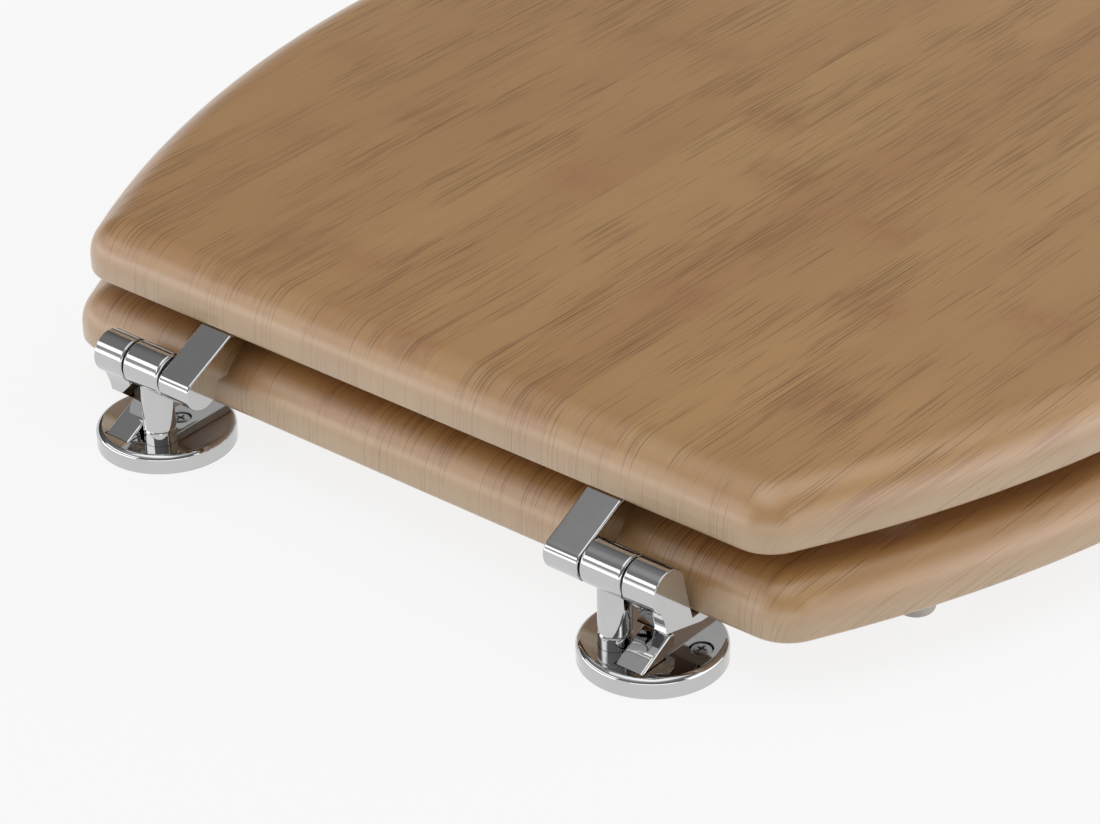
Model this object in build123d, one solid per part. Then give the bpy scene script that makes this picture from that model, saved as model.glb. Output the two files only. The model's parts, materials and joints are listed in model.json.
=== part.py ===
"""Toilet seat: moulded lid and seat ring on two chrome lift-off hinges.

Millimetres. The origin is midway between the two pan fixings, on the pan's surface.
+X points to the right seen from behind, +Y to the front of the seat, +Z up.
"""
from build123d import *
import math
import os

# Lid and seat ring in plan
lid_width = 365.0
lid_length = 412.0
widest_from_rear = 195.0
side_radius = 392.0
corner_radius = 14.0
seat_overhang_rear = 0.5
seat_overhang_side = 5.7
rear_rim = 86.0
front_rim = 53.0
side_rim = 67.5

# Lid and seat ring in section
seat_height = 17.0
seat_thickness = 17.5
lid_gap = 8.5
lid_thickness = 17.5
top_round = 12.5
opening_round = 9.0
under_round = 1.6

# Hinge line
post_spacing = 178.0
axis_height = 30.6
axis_to_lid = 12.8
barrel_diameter = 13.6
post_knuckle = 14.5
seat_knuckle = 11.4
lid_knuckle = 12.4
knuckle_gap = 0.6
knuckle_end_round = 0.9
pin_diameter = 4.0
pin_in_arm = 8.5
pin_chamfer = 0.4
washer_diameter = 10.6
washer_thickness = 0.5

# Post and the stub that it stands on
post_diameter = 10.0
stub_height = 10.5
spigot_diameter = 5.6
spigot_length = 10.0
spigot_chamfer = 0.7
joint_chamfer = 0.4

# Base cover and base
cover_diameter = 43.2
cover_height = 6.0
cover_wall = 1.8
cover_round = 1.9
base_out = 6.3
base_forward = 8.6
base_plate_thickness = 1.4
boss_diameter = 11.2
fixing_thread_diameter = 6.8

# Release lever
lever_width = 9.6
lever_length = 14.8
lever_body = 9.5
lever_rise = 8.0
lever_from_post = 11.0
lever_rear = 7.8
lever_pivot_in = 2.4
lever_pin_diameter = 1.2
lever_end_round = 2.0
lever_edge_round = 0.7
lever_travel = 10.0
lever_ear = 1.8
spring_thickness = 0.4
spring_width = 4.0

# Arms
lid_arm_top = 5.4
lid_arm_round = 4.0
lid_plate_thickness = 4.4
lid_plate_length = 48.0
seat_plate_thickness = 3.5
seat_plate_length = 50.0
tongue_tip_drop = 13.5
tongue_tip_back = 0.8
tongue_tip_width = 4.5
tongue_toe_forward = 15.0
tongue_back_angle = 12.0
tongue_hollow = 0.8
arm_edge_round = 0.6

# Screws
screw_diameter = 3.5
screw_head_diameter = 7.0
screw_head_height = 1.8
screw_head_chamfer = 0.6
screw_grip = 12.0
screw_inset = 9.0

# Buffers and bumpers
buffer_length = 34.0
buffer_width = 14.0
buffer_draft = 4.0
buffer_round = 1.5
buffer_screw_depth = 9.0
bumper_diameter = 14.0
bumper_round = 2.0
bumper_plug_diameter = 5.0
bumper_plug_length = 8.0
rear_pad_from_rear = 60.0
front_pad_from_rear = 326.0

# Clearances
running_clearance = 0.05
seated_clearance = 0.10
moving_clearance = 0.30
seat_edge_clearance = 2.0
same_place = 0.001

# Places worked out from the sizes
post_x = post_spacing / 2
axis_y = -base_forward
base_x = post_x + base_out
barrel_radius = barrel_diameter / 2
seat_top = seat_height + seat_thickness
lid_under = seat_top + lid_gap
lid_rear = axis_y + axis_to_lid
seat_rear = lid_rear - seat_overhang_rear
opening_width = lid_width - 2 * side_rim
opening_length = lid_length - rear_rim - front_rim
post_knuckle_inner = post_x - post_knuckle / 2
post_knuckle_outer = post_x + post_knuckle / 2
lid_knuckle_outer = post_knuckle_inner - knuckle_gap
lid_knuckle_inner = lid_knuckle_outer - lid_knuckle
seat_knuckle_inner = post_knuckle_outer + knuckle_gap
seat_knuckle_outer = seat_knuckle_inner + seat_knuckle
lid_arm_x = (lid_knuckle_inner + lid_knuckle_outer) / 2
seat_arm_x = (seat_knuckle_inner + seat_knuckle_outer) / 2


def arc_about(center, start, end):
    """Shorter arc from start to end about a centre."""
    spoke = (Vector(*start) - Vector(*center)) + (Vector(*end) - Vector(*center))
    middle = Vector(*center) + spoke.normalized() * math.dist(center, start)
    return ThreePointArc(start, middle, end)


def plan_face(width, length, rear, widest, side, corner):
    """Straight rear edge, rounded rear corners, bulging sides and a half-elliptic front."""
    half = width / 2
    side_center = (half - side, widest)
    reach = widest - rear - corner
    corner_center = (side_center[0] + math.sqrt((side - corner) ** 2 - reach**2), rear + corner)
    away = Vector(*corner_center) - Vector(*side_center)
    leave = Vector(*side_center) + away.normalized() * side
    leave = (leave.X, leave.Y)

    def mirrored(point):
        return (-point[0], point[1])

    rear_end = (corner_center[0], rear)
    edges = [Line(mirrored(rear_end), rear_end)]
    edges.append(arc_about(corner_center, rear_end, leave))
    edges.append(arc_about(side_center, leave, (half, widest)))
    edges.append(EllipticalCenterArc((0, widest), half, rear + length - widest, start_angle=0, arc_size=180))
    edges.append(arc_about(mirrored(side_center), (-half, widest), mirrored(leave)))
    edges.append(arc_about(mirrored(corner_center), mirrored(leave), mirrored(rear_end)))
    return make_face(edges)


def grown_plan(behind, beside):
    """Plan face of the lid, moved out behind and, by another margin, at the sides and front."""
    return plan_face(
        lid_width + 2 * beside,
        lid_length + behind + beside,
        lid_rear - behind,
        lid_rear + widest_from_rear,
        side_radius + beside,
        corner_radius + behind,
    )


def upright(diameter, low, high, x, y):
    """Cylinder along Z between two heights."""
    return Pos(x, y, low) * Cylinder(diameter / 2, high - low, align=(Align.CENTER, Align.CENTER, Align.MIN))


def crosswise(diameter, low, high, y, z):
    """Cylinder along X between two places."""
    turned = Rot(0, 90, 0) * Cylinder(diameter / 2, high - low, align=(Align.CENTER, Align.CENTER, Align.MIN))
    return Pos(low, y, z) * turned


def side_profile(sketch, low, high):
    """Prism along X of a sketch drawn in Y and Z."""
    return extrude(Plane.YZ.offset(low) * sketch, high - low)


def end_edges(solid, x):
    """Edges of a solid that lie in a plane of constant x."""
    found = []
    for edge in solid.edges():
        box = edge.bounding_box()
        if abs(box.min.X - x) < same_place and abs(box.max.X - x) < same_place:
            found.append(edge)
    return found


def arm_screw_places(x, start, length):
    """Two screw places along an arm's plate."""
    return [(x, start + screw_inset), (x, start + length - screw_inset)]


lid_plate_start = lid_rear + top_round
seat_plate_start = seat_rear
lid_screw_places = arm_screw_places(lid_arm_x, lid_plate_start, lid_plate_length)
seat_screw_places = arm_screw_places(seat_arm_x, seat_plate_start, seat_plate_length)


def screw(x, y, head_low):
    """Screw driven upward, with its head's underside edge at a height."""
    head_top = head_low + screw_head_height
    head = upright(screw_head_diameter, head_low, head_top, x, y)
    head = chamfer(head.edges().group_by(Axis.Z)[0], screw_head_chamfer)
    return head + upright(screw_diameter, head_top, head_top + screw_grip, x, y)


def screw_hole(x, y, head_low):
    """Seat and pilot hole of one screw."""
    head_top = head_low + screw_head_height
    seat = upright(screw_head_diameter + 2 * seated_clearance, head_low, head_top, x, y)
    hole_end = head_top + screw_grip + seated_clearance
    return seat + upright(screw_diameter + 2 * running_clearance, head_top, hole_end, x, y)


lid_head_low = lid_under - lid_plate_thickness
seat_head_low = seat_height - seat_plate_thickness


opening_y = lid_rear + rear_rim + opening_length / 2


def outer_half_width(y):
    """Half of the lid's width at a place along Y."""
    along = y - lid_rear - widest_from_rear
    if along > 0:
        return lid_width / 2 * math.sqrt(1 - (along / (lid_length - widest_from_rear)) ** 2)
    return lid_width / 2 - side_radius + math.sqrt(side_radius**2 - along**2)


def opening_half_width(y):
    """Half of the opening's width at a place along Y, nothing beyond its ends."""
    across = (y - opening_y) / (opening_length / 2)
    return opening_width / 2 * math.sqrt(max(0.0, 1 - across**2))


rear_pad_y = lid_rear + rear_pad_from_rear
front_pad_y = lid_rear + front_pad_from_rear
rear_pad_x = outer_half_width(rear_pad_y) - top_round - buffer_length / 2
front_pad_x = (outer_half_width(front_pad_y) + opening_half_width(front_pad_y)) / 2
pads = {
    "rear_left": (-rear_pad_x, rear_pad_y),
    "rear_right": (rear_pad_x, rear_pad_y),
    "front_left": (-front_pad_x, front_pad_y),
    "front_right": (front_pad_x, front_pad_y),
}


def mirrored_places(places):
    """Places on both sides of the middle."""
    return [(side * x, y) for side in (-1, 1) for x, y in places]


def make_lid():
    """Solid board with a soft round on its upper edge and plug and pilot holes below."""
    board = Pos(0, 0, lid_under) * extrude(grown_plan(0, 0), lid_thickness)
    board = fillet(board.edges().group_by(Axis.Z)[-1], top_round)
    board = fillet(board.edges().group_by(Axis.Z)[0], under_round)
    for x, y in mirrored_places(lid_screw_places):
        board -= screw_hole(x, y, lid_head_low)
    for x, y in pads.values():
        plug = bumper_plug_diameter + 2 * running_clearance
        board -= upright(plug, lid_under, lid_under + bumper_plug_length + seated_clearance, x, y)
    return board


def make_seat_ring():
    """Ring with a soft outer round, a rounded opening and pilot holes below."""
    opening = Pos(0, opening_y) * Ellipse(opening_width / 2, opening_length / 2)
    outline = grown_plan(seat_overhang_rear, seat_overhang_side)
    ring = Pos(0, 0, seat_height) * extrude(outline, seat_thickness)
    ring = fillet(ring.edges().group_by(Axis.Z)[-1], top_round)
    ring -= Pos(0, 0, seat_height) * extrude(opening, seat_thickness)
    rim = [edge for edge in ring.edges().group_by(Axis.Z)[-1] if edge.is_closed]
    ring = fillet(rim, opening_round)
    ring = fillet(ring.edges().group_by(Axis.Z)[0], under_round)
    for x, y in mirrored_places(seat_screw_places):
        ring -= screw_hole(x, y, seat_head_low)
    for x, y in pads.values():
        ring -= screw_hole(x, y, buffer_screw_depth)
    return ring


def make_buffer(x, y):
    """Oval foot with drafted sides and a deep screw recess."""
    foot = extrude(SlotOverall(buffer_length, buffer_width), -seat_height, taper=buffer_draft)
    foot = Pos(x, y, seat_height) * foot
    foot = fillet(foot.edges().group_by(Axis.Z)[0], buffer_round)
    recess = upright(screw_head_diameter + 2 * seated_clearance, 0, buffer_screw_depth, x, y)
    return foot - recess - screw_hole(x, y, buffer_screw_depth)


def make_bumper(x, y):
    """Round pad with a plug that goes into the lid."""
    pad = upright(bumper_diameter, seat_top + moving_clearance, lid_under, x, y)
    pad = fillet(pad.edges().group_by(Axis.Z)[0], bumper_round)
    return pad + upright(bumper_plug_diameter, lid_under, lid_under + bumper_plug_length, x, y)


lever_x = post_x + lever_from_post
lever_rear_y = axis_y - lever_rear
lever_front_y = lever_rear_y + lever_length
lever_body_y = lever_rear_y + lever_body
lever_pivot_y = lever_rear_y + lever_pivot_in
lever_pivot_z = (base_plate_thickness + cover_height - cover_wall) / 2
lever_reach = lever_body_y - lever_pivot_y
lever_tilt = math.radians(lever_travel)


def lever_under(y, rest):
    """Height of the lever's underside, which comes down to just above a resting height when pressed."""
    return rest + moving_clearance + (y - lever_pivot_y) * math.tan(lever_tilt)


def lever_swing():
    """How far the front of the lever's body moves forward, at the cover's top, when pressed."""
    lift = cover_height - lever_pivot_z
    return lever_reach * (1 / math.cos(lever_tilt) - 1) + lift * math.tan(lever_tilt)


def make_base():
    """Base plate with the fixing boss, the post's stub and spigot, and the lever's two ears."""
    plate_diameter = cover_diameter - 2 * cover_wall - 2 * seated_clearance
    ceiling = cover_height - cover_wall
    base = upright(plate_diameter, 0, base_plate_thickness, base_x, 0)
    base += upright(boss_diameter, 0, ceiling, base_x, 0)
    stub = upright(post_diameter, 0, stub_height, post_x, axis_y)
    base += chamfer(stub.edges().group_by(Axis.Z)[-1], joint_chamfer)
    spigot = upright(spigot_diameter, stub_height, stub_height + spigot_length, post_x, axis_y)
    base += chamfer(spigot.edges().group_by(Axis.Z)[-1], spigot_chamfer)
    ear = Box(lever_ear, 2 * lever_pin_diameter, ceiling - base_plate_thickness)
    for side in (-1, 1):
        ear_x = lever_x + side * (lever_width / 2 + moving_clearance + lever_ear / 2)
        base += Pos(ear_x, lever_pivot_y, (ceiling + base_plate_thickness) / 2) * ear
    base -= lever_pin_hole()
    return base - upright(fixing_thread_diameter, 0, ceiling, base_x, 0)


def lever_pin_span():
    """Ends of the lever's pin along X."""
    reach = lever_width / 2 + moving_clearance + lever_ear
    return lever_x - reach, lever_x + reach


def lever_pin_hole():
    """Hole for the lever's pin through the lever and both ears."""
    return crosswise(lever_pin_diameter + 2 * running_clearance, *lever_pin_span(), lever_pivot_y, lever_pivot_z)


def make_cover():
    """Round cup with a soft upper edge, a hole for the stub and a slot for the lever."""
    cup = upright(cover_diameter, 0, cover_height, base_x, 0)
    cup = fillet(cup.edges().group_by(Axis.Z)[-1], cover_round)
    cup -= upright(cover_diameter - 2 * cover_wall, 0, cover_height - cover_wall, base_x, 0)
    cup -= upright(post_diameter + 2 * seated_clearance, 0, cover_height, post_x, axis_y)
    slot_rear = lever_rear_y - moving_clearance
    slot_front = lever_body_y + lever_swing() + moving_clearance
    slot_width = lever_width + 2 * moving_clearance
    slot = Rectangle(slot_width, slot_front - slot_rear, align=(Align.CENTER, Align.MIN))
    return cup - Pos(lever_x, slot_rear, base_plate_thickness) * extrude(slot, cover_height)


def make_lever():
    """Wedge that rises to the front and reaches over the cover there, hung on a pin at its rear."""
    corners = [
        (lever_rear_y, cover_height),
        (lever_front_y, cover_height + lever_rise),
        (lever_front_y, lever_under(lever_front_y, cover_height)),
        (lever_body_y, lever_under(lever_body_y, cover_height)),
        (lever_body_y, lever_under(lever_body_y, base_plate_thickness)),
        (lever_pivot_y, lever_under(lever_pivot_y, base_plate_thickness)),
        (lever_rear_y, lever_pivot_z),
    ]
    profile = make_face(Polyline(*corners, close=True))
    crest = [vertex for vertex in profile.vertices() if vertex.Y > cover_height + lever_rise - same_place]
    profile = fillet(crest, lever_end_round)
    wedge = side_profile(profile, lever_x - lever_width / 2, lever_x + lever_width / 2)
    for side in (-1, 1):
        rims = end_edges(wedge, lever_x + side * lever_width / 2)
        rims = [edge for edge in rims if edge.bounding_box().max.Z > lever_under(lever_front_y, cover_height)]
        wedge = fillet(rims, lever_edge_round)
    return wedge - lever_pin_hole()


def make_lever_pin():
    """Cross pin of the lever, held in the ears of the base."""
    return crosswise(lever_pin_diameter, *lever_pin_span(), lever_pivot_y, lever_pivot_z)


def make_spring():
    """Leaf that stands on the base plate and bears under the lever."""
    foot = lever_pivot_y + lever_pin_diameter
    end = lever_body_y - lever_end_round
    top = lever_under(end, base_plate_thickness) - seated_clearance
    floor = base_plate_thickness
    corners = [(foot, floor), (end, top - spring_thickness), (end, top), (foot, floor + spring_thickness)]
    leaf = make_face(Polyline(*corners, close=True))
    return side_profile(leaf, lever_x - spring_width / 2, lever_x + spring_width / 2)


def make_post():
    """T-piece: middle knuckle on an upright with a socket for the spigot."""
    knuckle = crosswise(barrel_diameter, post_knuckle_inner, post_knuckle_outer, axis_y, axis_height)
    ends = end_edges(knuckle, post_knuckle_inner) + end_edges(knuckle, post_knuckle_outer)
    knuckle = fillet(ends, knuckle_end_round)
    stem = upright(post_diameter, stub_height, axis_height, post_x, axis_y)
    post = knuckle + chamfer(stem.edges().group_by(Axis.Z)[0], joint_chamfer)
    bore = pin_diameter + 2 * running_clearance
    post -= crosswise(bore, post_knuckle_inner, post_knuckle_outer, axis_y, axis_height)
    socket = spigot_diameter + 2 * running_clearance
    socket_top = stub_height + spigot_length + moving_clearance
    return post - upright(socket, stub_height, socket_top, post_x, axis_y)


pin_low = lid_knuckle_outer - pin_in_arm
pin_high = seat_knuckle_inner + pin_in_arm


def make_pin():
    """Straight pin through the post's knuckle and into both arms."""
    pin = crosswise(pin_diameter, pin_low, pin_high, axis_y, axis_height)
    return chamfer(end_edges(pin, pin_low) + end_edges(pin, pin_high), pin_chamfer)


def pin_bore():
    """Blind holes that the pin turns in."""
    bore = pin_diameter + 2 * running_clearance
    return crosswise(bore, pin_low - moving_clearance, pin_high + moving_clearance, axis_y, axis_height)


def make_washers():
    """Two thin spacers between the knuckles."""
    play = (knuckle_gap - washer_thickness) / 2
    bore = pin_diameter + 2 * running_clearance
    solids = []
    for low in (lid_knuckle_outer + play, post_knuckle_outer + play):
        disc = crosswise(washer_diameter, low, low + washer_thickness, axis_y, axis_height)
        solids.append(disc - crosswise(bore, low, low + washer_thickness, axis_y, axis_height))
    return Compound(children=[solid.solid() for solid in solids])


def make_lid_arm():
    """Inner knuckle with a flat-topped bar that rises to the lid's underside."""
    rise = lid_under - axis_height
    slope = math.atan2(rise, axis_to_lid) - math.asin(lid_arm_top / math.hypot(rise, axis_to_lid))
    chord = math.sqrt(barrel_radius**2 - lid_arm_top**2)
    crest_y = axis_y - lid_arm_top * math.sin(slope) - chord * math.cos(slope)
    crest_z = axis_height + lid_arm_top * math.cos(slope) - chord * math.sin(slope)
    crest = (crest_y, crest_z)
    meet = (lid_rear, lid_under)
    plate_end = lid_plate_start + lid_plate_length
    corners = [crest, meet, (plate_end, lid_under), (plate_end, lid_head_low)]
    corners += [(lid_plate_start, lid_head_low), (lid_plate_start, axis_height), (axis_y, axis_height)]
    over = Pos(*crest) * Rot(0, 0, math.degrees(slope)) * Rectangle(2 * chord, barrel_radius, align=Align.MIN)
    profile = make_face(Polyline(*corners, close=True))
    profile += Pos(axis_y, axis_height) * Circle(barrel_radius) - over
    edge_center = (seat_rear + top_round, seat_top - top_round)
    profile -= Pos(*edge_center) * Circle(lid_head_low - edge_center[1])
    below = lid_head_low - axis_height + barrel_radius
    keep_out = Rectangle(plate_end - edge_center[0], below, align=(Align.MIN, Align.MAX))
    profile -= Pos(edge_center[0], lid_head_low) * keep_out
    profile = fillet(profile.vertices().sort_by_distance(crest)[0], lid_arm_round)
    arm = side_profile(profile, lid_knuckle_inner, lid_knuckle_outer)
    arm = fillet(end_edges(arm, lid_knuckle_inner) + end_edges(arm, lid_knuckle_outer), arm_edge_round)
    arm -= pin_bore()
    for x, y in lid_screw_places:
        arm -= screw_hole(x, y, lid_head_low)
    return arm


def make_seat_arm():
    """Outer knuckle with a tongue that runs down to a tip and forward under the ring."""
    tip = (axis_y - tongue_tip_back, axis_height - tongue_tip_drop)
    turn = math.radians(tongue_back_angle)
    back = (axis_y - barrel_radius * math.cos(turn), axis_height - barrel_radius * math.sin(turn))
    waist = ((back[0] + tip[0]) / 2 + tongue_hollow, (back[1] + tip[1]) / 2 + tongue_hollow)
    plate_end = seat_plate_start + seat_plate_length
    fore = (tip[0] + tongue_toe_forward, seat_head_low)
    rise = (seat_rear - seat_edge_clearance, seat_height)
    outline = [
        ThreePointArc(back, waist, tip),
        Line(tip, fore),
        Line(fore, (plate_end, seat_head_low)),
        Line((plate_end, seat_head_low), (plate_end, seat_height)),
        Line((plate_end, seat_height), rise),
        Line(rise, (axis_y + barrel_radius, axis_height)),
        Line((axis_y + barrel_radius, axis_height), back),
    ]
    profile = make_face(outline) + Pos(axis_y, axis_height) * Circle(barrel_radius)
    arm = side_profile(profile, seat_knuckle_inner, seat_knuckle_outer)
    arm = fillet(end_edges(arm, seat_knuckle_inner), arm_edge_round)
    arm = fillet(end_edges(arm, seat_knuckle_outer), arm_edge_round / 2)
    taper = [(seat_knuckle_inner, axis_height - barrel_radius), (seat_knuckle_inner, tip[1])]
    taper.append((seat_knuckle_outer - tongue_tip_width, tip[1]))
    wedge = extrude(Plane.XZ * make_face(Polyline(*taper, close=True)), barrel_diameter)
    arm -= Pos(0, seat_rear - seat_edge_clearance, 0) * wedge
    arm -= pin_bore()
    for x, y in seat_screw_places:
        arm -= screw_hole(x, y, seat_head_low)
    return arm


def screws(places, head_low):
    """Group of like screws."""
    return Compound(children=[screw(x, y, head_low).solid() for x, y in places])


hinge_pieces = {
    "base": make_base,
    "base_cover": make_cover,
    "release_lever": make_lever,
    "lever_pin": make_lever_pin,
    "lever_spring": make_spring,
    "hinge_post": make_post,
    "hinge_pin": make_pin,
    "spacers": make_washers,
    "lid_arm": make_lid_arm,
    "seat_arm": make_seat_arm,
    "lid_arm_screws": lambda: screws(lid_screw_places, lid_head_low),
    "seat_arm_screws": lambda: screws(seat_screw_places, seat_head_low),
}

os.makedirs("parts", exist_ok=True)
pieces = {"lid": make_lid(), "seat_ring": make_seat_ring()}
pieces["buffer_screws"] = screws(pads.values(), buffer_screw_depth)
for place, (x, y) in pads.items():
    pieces["seat_buffer_" + place] = make_buffer(x, y)
    pieces["lid_bumper_" + place] = make_bumper(x, y)
for name, make in hinge_pieces.items():
    right_piece = make()
    pieces["right_" + name] = right_piece
    pieces["left_" + name] = mirror(right_piece, about=Plane.YZ)
for name, piece in pieces.items():
    export_step(piece, "parts/" + name + ".step")
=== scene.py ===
"""Toilet seat: bamboo-effect lid and seat ring on chrome lift-off hinges, on a pale floor."""

import json
import math

import bmesh
import bpy
from mathutils import Matrix, Vector


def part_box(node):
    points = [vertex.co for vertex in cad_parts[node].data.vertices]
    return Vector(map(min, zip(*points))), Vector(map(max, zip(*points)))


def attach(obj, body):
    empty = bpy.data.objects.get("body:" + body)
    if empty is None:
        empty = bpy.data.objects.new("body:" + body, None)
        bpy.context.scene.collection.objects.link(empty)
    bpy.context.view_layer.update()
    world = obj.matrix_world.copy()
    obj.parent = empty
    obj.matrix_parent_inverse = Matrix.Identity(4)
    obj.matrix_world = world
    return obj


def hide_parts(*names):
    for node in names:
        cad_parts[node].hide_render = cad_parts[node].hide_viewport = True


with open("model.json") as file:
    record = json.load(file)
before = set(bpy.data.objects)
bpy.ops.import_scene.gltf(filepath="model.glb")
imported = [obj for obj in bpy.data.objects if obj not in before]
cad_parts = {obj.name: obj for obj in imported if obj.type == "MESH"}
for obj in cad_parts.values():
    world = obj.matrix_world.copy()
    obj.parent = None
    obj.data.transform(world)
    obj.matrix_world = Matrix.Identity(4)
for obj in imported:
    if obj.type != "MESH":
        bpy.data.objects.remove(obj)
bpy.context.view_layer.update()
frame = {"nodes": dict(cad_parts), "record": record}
cad = frame["nodes"]
record = frame["record"]
MM = 0.001

# Camera at the photograph's angle, image 1100 x 824
IMAGE_WIDTH, IMAGE_HEIGHT = 1100, 824
AZIMUTH, ELEVATION, ROLL = math.radians(40.936), math.radians(30.255), math.radians(-1.56)
CAMERA_DISTANCE = 1219.819 * MM
FOCAL_PIXELS = 3893.591
CENTRE_X, CENTRE_Y = 543.723, 376.831
TARGET = Vector((-27.912, 98.87, 0.0)) * MM
SENSOR_MM = 36.0
CLIP_START = 0.01

# Bamboo strips along Y: sizes in metres, noise scale per metre, seam as a share of the width
STRIP_WIDTH = 0.0232
STRIP_START = -0.017
STRIP_SHIFT = 0.37
STRIPS_EACH_SIDE = 9
WANDER = 0.0016
WANDER_SCALE = 9.0
SEAM_FROM_MIDDLE = 0.490

# Brown nodes across the strips: spacing, spread and raggedness in metres, strength, each strip's phase
NODE_PERIOD = 0.178
NODE_SPREAD = 0.0085
NODE_RAGGED = 0.012
NODE_STRENGTH = 0.65
LID_NODES = (0.10, 0.55, 0.30, 0.82, 0.50, 0.68, 0.20, 0.22, 0.68,
             0.06, 0.90, 0.46, 0.84, 0.62, 0.32, 0.75, 0.15, 0.50)
SEAT_NODES = (0.40, 0.85, 0.12, 0.60, 0.28, 0.95, 0.50, 0.75, 0.05,
              0.35, 0.65, 0.18, 0.90, 0.45, 0.72, 0.25, 0.55, 0.80)

# Noise that follows the grain: features per metre across and along it, detail, roughness, seed shift
RAGGED = (260.0, 40.0, 3.0, 0.5, 0.0)
CLOUD = (34.0, 9.0, 3.0, 0.55, 3.0)
FIBRE = (1100.0, 22.0, 3.0, 0.65, 5.0)
STREAK = (240.0, 9.0, 2.0, 0.5, 7.0)
CLUSTER = (62.0, 12.0, 2.0, 0.5, 11.0)
FLAME = (420.0, 170.0, 3.0, 0.6, 19.0)
CLUSTER_STOPS = ((0.0, 0.0), (0.40, 0.1), (0.60, 1.0), (1.0, 1.0))
FLAME_STOPS = ((0.0, 0.35), (0.4, 0.5), (0.6, 1.0), (1.0, 1.0))

# Hair lines along the grain: sets of spacing, half width and seed shift, in metres, then their dashes
PORE_SETS = ((0.00105, 0.00019, 13.0), (0.00147, 0.00022, 23.0), (0.00082, 0.00015, 37.0))
PORE_STRENGTH = 0.92
LINE_SHARPNESS = 1.8
LANE_STEP = 7.31
DASHES_PER_METRE = 27.0
DASH_SHARPNESS = 9.0
DASH_START, DASH_START_IN_CLUSTER = 0.67, 0.49

# How the print fades and a painted highlight grows down the edges, by the share of a depth in metres
PORE_DEPTH = 0.015
PORE_STOPS = ((0.0, 1.0), (0.1, 1.0), (0.6, 0.4), (1.0, 0.4))
# Painted highlight: a pale band on the lower, upright part of the edges that stands in for the sheen the
# floor lights there; its depth, its stops down the edge, then its stops by how upright the face is
PAINTED_HIGHLIGHT_DEPTH = 0.0175
PAINTED_HIGHLIGHT_STOPS = ((0.0, 0.0), (0.28, 0.0), (0.75, 0.50), (1.0, 0.54))
PAINTED_HIGHLIGHT_UPRIGHT_STOPS = ((0.0, 0.0), (0.35, 1.0))

# Printed colours, and the colour of the painted highlight on the lower edges, as 8-bit display values
STRIP_DARK, STRIP_PALE = (178, 127, 76), (198, 154, 96)
NODE_BROWN = (166, 108, 62)
PORE_BROWN = (126, 78, 0)
# Pale colour of the painted highlight on the lower edges, not a printed colour
PAINTED_HIGHLIGHT_COLOUR = (206, 187, 158)

# Wood screws: sizes and (radius, height) points in millimetres, head down, and the angle of sharp edges
HEAD_RADIUS, HEAD_HEIGHT = 3.5, 1.8
HEAD_DOME = ((0.0, 0.0), (1.5, 0.0), (2.3, 0.06), (2.8, 0.22), (3.2, 0.55), (3.42, 1.0), (HEAD_RADIUS, 1.5))
CREST_RADIUS, CORE_RADIUS = 1.72, 1.30
THREAD_START, THREAD_PITCH, THREAD_TURNS, FLANK = 2.1, 0.72, 15, 0.3
POINT = ((0.7, 13.2), (0.0, 13.8))
SHARP_ANGLE = math.radians(35.0)

# Cross recess in millimetres: arm, half width, depth, start of its cutter outside the head; inner share
CROSS_ARM, CROSS_HALF, CROSS_DEPTH, CROSS_OUTSIDE = 2.0, 0.48, 1.15, 0.5
CROSS_TAPER = 0.6

# Floor that sweeps up into a low backdrop all round, as (radius, height) in metres
SWEEP = ((0.0, 0.0), (4.4, 0.0), (4.9, 0.04), (5.3, 0.16), (5.6, 0.40), (5.75, 0.75), (5.8, 1.5))
SWEEP_SIDES = 96
FLOOR_DROP = 0.0002

# Share of white in the floor that the camera and reflections see, over its lit colour
FLOOR_WHITE = 0.85

# Soft boxes: the point that they face, then name, direction, distance, width and height in metres, radiance
LAMPS_FACE = Vector((0.0, 0.12, 0.03))
LAMPS = (
    ("overhead_box", (0.0, 0.0, 1.0), 1.75, 1.8, 2.0, 0.74),
    ("front_box", (0.20, 0.90, 0.42), 1.5, 1.3, 1.0, 1.0),
    ("left_box", (-0.58, -0.74, 0.34), 1.3, 1.3, 0.75, 0.35),
    ("left_high_strip", (-0.56, -0.68, 0.47), 1.2, 1.3, 0.22, 1.5),
    ("left_low_strip", (-0.63, -0.76, 0.08), 1.2, 1.5, 0.16, 2.2),
    ("right_box", (0.84, 0.46, 0.30), 1.4, 1.9, 0.85, 1.5),
    ("rear_strip", (0.62, -0.75, 0.08), 1.4, 1.6, 0.16, 1.4),
)

# World: grey by the height above the horizon, tilted a little to the rear
SKY_UP = (0.0, -0.22, 0.975)
SKY_STOPS = ((0.0, 0.02), (0.35, 0.06), (0.80, 0.28), (1.0, 0.9))


def fill_ramp(ramp, stops):
    """Grey levels at places along a colour ramp."""
    while len(ramp.elements) < len(stops):
        ramp.elements.new(1.0)
    for element, (place, level) in zip(ramp.elements, stops):
        element.position = place
        element.color = (level, level, level, 1.0)


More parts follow.
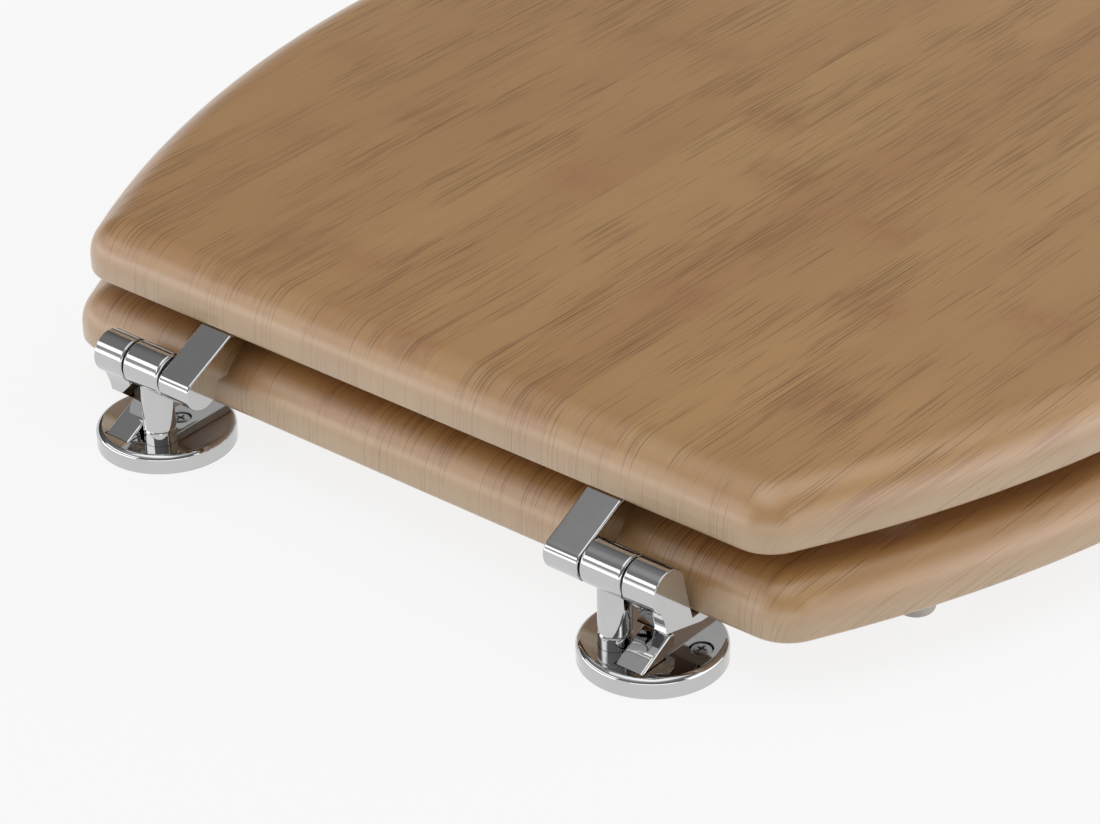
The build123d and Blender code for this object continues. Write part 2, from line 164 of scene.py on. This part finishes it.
class Tree:
    """Short hand for one material's nodes."""

    def __init__(self, name):
        self.material = bpy.data.materials.new(name)
        self.material.use_nodes = True
        self.nodes = self.material.node_tree.nodes
        self.links = self.material.node_tree.links
        self.nodes.clear()

    def feed(self, socket, value):
        if isinstance(value, bpy.types.NodeSocket):
            self.links.new(value, socket)
        else:
            socket.default_value = value

    def node(self, kind, values=None, **settings):
        made = self.nodes.new("ShaderNode" + kind)
        for key, value in settings.items():
            setattr(made, key, value)
        for key, value in (values or {}).items():
            self.feed(made.inputs[key], value)
        return made

    def math(self, operation, *values, clamp=False):
        made = self.node("Math", operation=operation, use_clamp=clamp)
        for socket, value in zip(made.inputs, values):
            self.feed(socket, value)
        return made.outputs[0]

    def between(self, value, low, high):
        """Low where the value is 0, high where it is 1."""
        return self.math("MULTIPLY_ADD", value, high - low, low)

    def mix(self, factor, first, second, blend="MIX"):
        made = self.node("Mix", data_type="RGBA", blend_type=blend)
        self.feed(made.inputs[0], factor)
        self.feed(made.inputs[6], first)
        self.feed(made.inputs[7], second)
        return made.outputs[2]

    def ramp(self, value, stops, interpolation="LINEAR"):
        made = self.node("ValToRGB", {"Fac": value})
        made.color_ramp.interpolation = interpolation
        fill_ramp(made.color_ramp, stops)
        return made.outputs[0]

    def vector(self, x, y, z):
        return self.node("CombineXYZ", {"X": x, "Y": y, "Z": z}).outputs[0]

    def noise(self, vector, scale=1.0, detail=2.0, roughness=0.5):
        values = {"Vector": vector, "Scale": scale, "Detail": detail, "Roughness": roughness}
        return self.node("TexNoise", values).outputs[0]

    def draw(self, number):
        """Random value from 0 to 1 for a whole number."""
        return self.node("TexWhiteNoise", {"W": number}, noise_dimensions="1D").outputs["Value"]

    def surface(self, shader):
        out = self.node("OutputMaterial")
        self.links.new(shader.outputs[0], out.inputs["Surface"])
        return self.material

    def finish(self, colour, roughness, bump, bump_depth, **plain):
        shader = self.node("BsdfPrincipled")
        self.feed(shader.inputs["Base Color"], colour)
        self.feed(shader.inputs["Roughness"], roughness)
        for name, value in plain.items():
            shader.inputs[name.replace("_", " ")].default_value = value
        relief = self.node("Bump", {"Height": bump, "Distance": bump_depth, "Strength": 1.0})
        self.links.new(relief.outputs[0], shader.inputs["Normal"])
        return self.surface(shader)


def linear(red, green, blue):
    """Scene-linear colour of an 8-bit display colour."""
    def channel(value):
        value /= 255.0
        return value / 12.92 if value <= 0.04045 else ((value + 0.055) / 1.055) ** 2.4

    return (channel(red), channel(green), channel(blue), 1.0)


def wrapped_place(t, top):
    """Place across and along a print that wraps over rounded edges, drop below the top, normal's Z."""
    place = t.node("TexCoord")
    at = t.node("SeparateXYZ", {"Vector": place.outputs["Object"]}).outputs
    facing = t.node("SeparateXYZ", {"Vector": place.outputs["Normal"]}).outputs
    drop = t.math("MAXIMUM", t.math("SUBTRACT", top, at[2]), 0.0)
    across = t.math("MULTIPLY_ADD", facing[0], drop, at[0])
    along = t.math("MULTIPLY_ADD", facing[1], drop, at[1])
    return across, along, drop, facing[2]


def grain(t, across, along, seed, settings):
    """Noise stretched along the grain."""
    wide, long, detail, roughness, shift = settings
    place = t.vector(t.math("MULTIPLY", across, wide), t.math("MULTIPLY", along, long), seed + shift)
    return t.noise(place, 1.0, detail, roughness)


def node_bands(t, across, along, index, chance, phases, seed):
    """Soft ragged bands across each strip, one to a period."""
    count = 2 * STRIPS_EACH_SIDE
    pick = t.math("DIVIDE", t.math("ADD", index, STRIPS_EACH_SIDE + 0.5), count)
    phase = t.ramp(pick, [(i / count, level) for i, level in enumerate(phases)], "CONSTANT")
    turns = t.math("SUBTRACT", t.math("DIVIDE", along, NODE_PERIOD), phase)
    turn = t.math("FRACT", t.math("ADD", turns, 0.5))
    from_node = t.math("MULTIPLY", t.math("SUBTRACT", turn, 0.5), NODE_PERIOD)
    ragged = t.between(grain(t, across, along, seed, RAGGED), -NODE_RAGGED / 2, NODE_RAGGED / 2)
    from_node = t.math("ADD", from_node, ragged)
    squared = t.math("POWER", t.math("DIVIDE", from_node, NODE_SPREAD), 2.0)
    band = t.math("EXPONENT", t.math("MULTIPLY", squared, -1.0))
    return t.math("MULTIPLY", band, t.between(chance, 0.5, 1.0))


def pore_lines(t, across, along, cluster, seed, spacing, half_width, shift):
    """Hair lines along the grain, one to a lane, broken into dashes that gather in clusters."""
    lane = t.math("DIVIDE", across, spacing)
    number = t.math("FLOOR", lane)
    middle = t.between(t.draw(t.math("ADD", number, shift)), 0.2, 0.8)
    off = t.math("ABSOLUTE", t.math("SUBTRACT", t.math("SUBTRACT", lane, number), middle))
    nearness = t.math("SUBTRACT", 1.0, t.math("DIVIDE", off, half_width / spacing))
    line = t.math("MULTIPLY", nearness, LINE_SHARPNESS, clamp=True)
    along_lane = t.math("MULTIPLY", along, DASHES_PER_METRE)
    wave = t.noise(t.vector(t.math("MULTIPLY", number, LANE_STEP), along_lane, seed + shift), detail=1.0)
    start = t.between(cluster, DASH_START, DASH_START_IN_CLUSTER)
    dash = t.math("MULTIPLY", t.math("SUBTRACT", wave, start), DASH_SHARPNESS, clamp=True)
    return t.math("MULTIPLY", line, dash)


def bamboo(name, top, phases, seed):
    """Printed bamboo: strips along Y that wrap over the rounded edges, with nodes, pores, a painted highlight
    on the lower upright edges and a satin coat.
    """
    t = Tree(name)
    across, along, drop, facing_up = wrapped_place(t, top)
    wave = t.noise(t.vector(0.0, along, seed), WANDER_SCALE)
    wandering = t.math("ADD", across, t.between(wave, -WANDER / 2, WANDER / 2))
    strip = t.math("DIVIDE", t.math("SUBTRACT", wandering, STRIP_START), STRIP_WIDTH)
    index = t.math("FLOOR", strip)
    within = t.math("SUBTRACT", strip, index)
    chance = t.draw(t.math("ADD", index, seed))
    shifted = t.math("MULTIPLY_ADD", index, STRIP_SHIFT, across)

    band = node_bands(t, across, along, index, chance, phases, seed)
    cloud = grain(t, shifted, along, seed, CLOUD)
    fibre = grain(t, across, along, seed, FIBRE)
    streak = grain(t, shifted, along, seed, STREAK)
    cluster = t.ramp(grain(t, shifted, along, seed, CLUSTER), CLUSTER_STOPS)
    flame = t.ramp(grain(t, across, along, seed, FLAME), FLAME_STOPS)
    pore = 0.0
    for pore_set in PORE_SETS:
        pore = t.math("MAXIMUM", pore, pore_lines(t, wandering, along, cluster, seed, *pore_set))
    pore = t.math("MULTIPLY", pore, t.ramp(t.math("DIVIDE", drop, PORE_DEPTH), PORE_STOPS))

    tone = t.math("ADD", t.math("MULTIPLY", cloud, 0.9), t.between(chance, -0.15, 0.25), clamp=True)
    colour = t.mix(tone, linear(*STRIP_DARK), linear(*STRIP_PALE))
    browned = t.math("MULTIPLY", t.math("MULTIPLY", band, flame), NODE_STRENGTH)
    colour = t.mix(browned, colour, linear(*NODE_BROWN))
    light = t.math("MULTIPLY", t.between(fibre, 0.90, 1.10), t.between(streak, 0.92, 1.08))
    from_middle = t.math("ABSOLUTE", t.math("SUBTRACT", within, 0.5))
    seam = t.math("GREATER_THAN", from_middle, SEAM_FROM_MIDDLE)
    light = t.math("MULTIPLY", light, t.between(seam, 1.0, 0.96))
    grey = t.node("CombineColor", {"Red": light, "Green": light, "Blue": light}).outputs[0]
    colour = t.mix(1.0, colour, grey, "MULTIPLY")
    # Painted highlight: the lower, upright parts of the edges turn pale where the floor would light a sheen
    painted_highlight = t.ramp(t.math("DIVIDE", drop, PAINTED_HIGHLIGHT_DEPTH), PAINTED_HIGHLIGHT_STOPS)
    painted_highlight_upright = t.ramp(t.math("SUBTRACT", 1.0, t.math("ABSOLUTE", facing_up)), PAINTED_HIGHLIGHT_UPRIGHT_STOPS)
    colour = t.mix(t.math("MULTIPLY", painted_highlight, painted_highlight_upright), colour, linear(*PAINTED_HIGHLIGHT_COLOUR))
    colour = t.mix(t.math("MULTIPLY", pore, PORE_STRENGTH), colour, linear(*PORE_BROWN))

    satin = t.math("MULTIPLY_ADD", pore, 0.12, t.between(fibre, 0.36, 0.46))
    height = t.math("SUBTRACT", t.math("MULTIPLY", fibre, 0.25), pore)
    return t.finish(colour, satin, height, 0.02 * MM, IOR=1.5,
                    Coat_Weight=1.0, Coat_Roughness=0.36, Coat_IOR=1.8)


def chrome(name):
    """Polished plating with a faint waviness and light wiping marks."""
    t = Tree(name)
    at = t.node("TexCoord").outputs["Object"]
    wave = t.noise(at, 120.0)
    wipe = t.noise(at, 900.0, 3.0, 0.6)
    tint = t.mix(wave, (0.53, 0.535, 0.535, 1.0), (0.58, 0.58, 0.575, 1.0))
    return t.finish(tint, t.between(wipe, 0.02, 0.08), wave, 0.03 * MM, Metallic=1.0)


def steel(name):
    """Plain drawn steel with fine lines."""
    t = Tree(name)
    at = t.node("TexCoord").outputs["Object"]
    drawn = t.node("Mapping", {"Vector": at, "Scale": (300.0, 300.0, 4000.0)}).outputs[0]
    lines = t.noise(drawn, 1.0, 3.0)
    tint = t.mix(lines, (0.46, 0.46, 0.47, 1.0), (0.62, 0.62, 0.62, 1.0))
    return t.finish(tint, t.between(lines, 0.2, 0.45), lines, 0.01 * MM, Metallic=1.0)


def moulded(name, dark, pale, fineness, smooth, rough):
    """Moulded rubber or nylon with a fine matt grain."""
    t = Tree(name)
    at = t.node("TexCoord").outputs["Object"]
    fine = t.noise(at, fineness, 3.0, 0.6)
    tint = t.mix(t.noise(at, 90.0), dark, pale)
    return t.finish(tint, t.between(fine, smooth, rough), fine, 0.06 * MM)


NYLON_DARK, NYLON_PALE = (0.012, 0.012, 0.012, 1.0), (0.03, 0.03, 0.03, 1.0)
RUBBER_DARK, RUBBER_PALE = linear(222, 220, 214), linear(234, 232, 226)
lid_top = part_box("lid")[1].z
seat_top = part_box("seat_ring")[1].z
looks = {
    "lid_wood": bamboo("lid_bamboo", lid_top, LID_NODES, 2.0),
    "seat_wood": bamboo("seat_bamboo", seat_top, SEAT_NODES, 31.0),
    "chrome": chrome("polished_chrome"),
    "plain_steel": steel("drawn_steel"),
    "black_nylon": moulded("black_nylon", NYLON_DARK, NYLON_PALE, 2500.0, 0.35, 0.55),
    "soft_grey": moulded("grey_rubber", RUBBER_DARK, RUBBER_PALE, 1800.0, 0.5, 0.75),
}
for part in record["subparts"]:
    piece = cad[part["node"]]
    piece.data.materials.clear()
    piece.data.materials.append(looks[part["material_slot"]])


def lathe(mesh, profile, x, y, z, sides=32):
    """Turned form from (radius, height) points, closed where they start or end on the axis."""
    rings = []
    for radius, height in profile:
        if radius == 0.0:
            rings.append([mesh.verts.new((x, y, z + height))])
            continue
        angles = [2.0 * math.pi * i / sides for i in range(sides)]
        places = [(x + radius * math.cos(a), y + radius * math.sin(a), z + height) for a in angles]
        rings.append([mesh.verts.new(place) for place in places])
    for low, high in zip(rings, rings[1:]):
        for i in range(sides):
            j = (i + 1) % sides
            corners = [low[i % len(low)], low[j % len(low)], high[j % len(high)], high[i % len(high)]]
            mesh.faces.new(list(dict.fromkeys(corners)))


def cross_cutter(mesh, x, y, z):
    """Tapered cross that is cut out of a screw head."""
    arm, half = CROSS_ARM * MM, CROSS_HALF * MM
    outline = [(arm, -half), (arm, half), (half, half), (half, arm), (-half, arm), (-half, half),
               (-arm, half), (-arm, -half), (-half, -half), (-half, -arm), (half, -arm), (half, -half)]
    bottom, top = z - CROSS_OUTSIDE * MM, z + CROSS_DEPTH * MM
    low = [mesh.verts.new((x + u, y + v, bottom)) for u, v in outline]
    high = [mesh.verts.new((x + u * CROSS_TAPER, y + v * CROSS_TAPER, top)) for u, v in outline]
    mesh.faces.new(low)
    mesh.faces.new(high)
    for i in range(len(outline)):
        j = (i + 1) % len(outline)
        mesh.faces.new([low[i], low[j], high[j], high[i]])


def to_object(name, mesh):
    """Object from a finished bmesh."""
    bmesh.ops.recalc_face_normals(mesh, faces=mesh.faces)
    data = bpy.data.meshes.new(name)
    mesh.to_mesh(data)
    mesh.free()
    made = bpy.data.objects.new(name, data)
    bpy.context.scene.collection.objects.link(made)
    return made


def screw_profile():
    """Pan head, thread and point of a wood screw, in metres."""
    profile = [*HEAD_DOME, (HEAD_RADIUS, HEAD_HEIGHT), (CREST_RADIUS, HEAD_HEIGHT)]
    for turn in range(THREAD_TURNS):
        crest = THREAD_START + THREAD_PITCH * turn
        profile += [(CREST_RADIUS, crest), (CORE_RADIUS, crest + FLANK)]
    profile += POINT
    return [(radius * MM, height * MM) for radius, height in profile]


def screw_set(name, node, places):
    """Pan-head wood screws with a cross recess and a cut thread, heads down, in place of one CAD node."""
    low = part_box(node)[0].z
    body, cutter = bmesh.new(), bmesh.new()
    for x, y in places:
        lathe(body, screw_profile(), x, y, low)
        cross_cutter(cutter, x, y, low)
    made, tool = to_object(name, body), to_object(name + "_tool", cutter)
    cut = made.modifiers.new("recess", "BOOLEAN")
    cut.object, cut.operation, cut.solver = tool, "DIFFERENCE", "EXACT"
    bpy.context.view_layer.update()
    carved = bpy.data.meshes.new_from_object(made.evaluated_get(bpy.context.evaluated_depsgraph_get()))
    made.modifiers.clear()
    made.data = carved
    bpy.data.objects.remove(tool)
    carved.shade_smooth()
    carved.set_sharp_from_angle(angle=SHARP_ANGLE)
    carved.materials.append(looks["plain_steel"])
    bodies = record["behaviour"]["bodies"]
    owner = next(key for key, nodes in bodies.items() if node in nodes)
    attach(made, owner)
    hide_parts(node)


def middle(node):
    """Middle of a node in plan."""
    low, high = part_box(node)
    return ((low.x + high.x) / 2, (low.y + high.y) / 2)


for side in ("left", "right"):
    for arm in ("lid_arm", "seat_arm"):
        node = side + "_" + arm + "_screws"
        low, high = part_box(node)
        x = middle(node)[0]
        ends = (low.y + HEAD_RADIUS * MM, high.y - HEAD_RADIUS * MM)
        screw_set(side + "_" + arm + "_wood_screws", node, [(x, y) for y in ends])
pads = ["seat_buffer_" + end + "_" + side for end in ("rear", "front") for side in ("left", "right")]
screw_set("buffer_wood_screws", "buffer_screws", [middle(pad) for pad in pads])


def pale_floor():
    """Pale floor and backdrop, near white to the camera and in reflections, that keep the shadow."""
    t = Tree("pale_floor")
    cloud = t.noise(t.node("TexCoord").outputs["Object"], 6.0)
    colour = t.mix(cloud, (0.84, 0.84, 0.84, 1.0), (0.88, 0.88, 0.88, 1.0))
    lit = t.node("BsdfDiffuse", {"Color": colour})
    white = t.node("Emission", {"Color": (1.0, 1.0, 1.0, 1.0), "Strength": 1.0})
    path = t.node("LightPath").outputs
    seen = t.math("ADD", path["Is Camera Ray"], path["Is Glossy Ray"])
    seen = t.math("ADD", seen, path["Is Transmission Ray"])
    blend = t.node("MixShader", {"Fac": t.math("MULTIPLY", seen, FLOOR_WHITE)})
    t.links.new(lit.outputs[0], blend.inputs[1])
    t.links.new(white.outputs[0], blend.inputs[2])
    return t.surface(blend)


sweep = bmesh.new()
lathe(sweep, SWEEP, 0.0, 0.0, -FLOOR_DROP, SWEEP_SIDES)
floor = to_object("floor", sweep)
floor.data.shade_smooth()
floor.data.materials.append(pale_floor())


def soft_box(name, direction, distance, width, height, radiance):
    """Rectangular lamp that faces the object from a direction."""
    lamp = bpy.data.lights.new(name, "AREA")
    lamp.shape = "RECTANGLE"
    lamp.size, lamp.size_y = width, height
    lamp.energy = radiance * math.pi * width * height
    made = bpy.data.objects.new(name, lamp)
    away = Vector(direction).normalized()
    made.location = LAMPS_FACE + away * distance
    made.rotation_euler = away.to_track_quat("Z", "Y").to_euler()
    bpy.context.scene.collection.objects.link(made)


for lamp in LAMPS:
    soft_box(*lamp)

world = bpy.data.worlds.new("studio")
world.use_nodes = True
sky = world.node_tree
height = sky.nodes.new("ShaderNodeVectorMath")
height.operation = "DOT_PRODUCT"
height.inputs[1].default_value = SKY_UP
fade = sky.nodes.new("ShaderNodeValToRGB")
fill_ramp(fade.color_ramp, SKY_STOPS)
sky.links.new(sky.nodes.new("ShaderNodeTexCoord").outputs["Generated"], height.inputs[0])
sky.links.new(height.outputs["Value"], fade.inputs["Fac"])
sky.links.new(fade.outputs[0], sky.nodes["Background"].inputs["Color"])
bpy.context.scene.world = world

lens = bpy.data.cameras.new("camera")
lens.sensor_fit = "HORIZONTAL"
lens.sensor_width = SENSOR_MM
lens.lens = FOCAL_PIXELS / IMAGE_WIDTH * SENSOR_MM
lens.shift_x = (IMAGE_WIDTH / 2 - CENTRE_X) / IMAGE_WIDTH
lens.shift_y = (CENTRE_Y - IMAGE_HEIGHT / 2) / IMAGE_WIDTH
lens.clip_start = CLIP_START
camera = bpy.data.objects.new("camera", lens)
flat = math.cos(ELEVATION)
back = Vector((math.sin(AZIMUTH) * flat, -math.cos(AZIMUTH) * flat, math.sin(ELEVATION)))
level_right = Vector((math.cos(AZIMUTH), math.sin(AZIMUTH), 0.0))
level_up = back.cross(level_right)
right = level_right * math.cos(ROLL) + level_up * math.sin(ROLL)
up = level_up * math.cos(ROLL) - level_right * math.sin(ROLL)
turn = Matrix((right, up, back)).transposed().to_4x4()
camera.matrix_world = Matrix.Translation(TARGET + back * CAMERA_DISTANCE) @ turn
bpy.context.scene.collection.objects.link(camera)
bpy.context.scene.camera = camera
bpy.context.scene.view_settings.view_transform = "Standard"
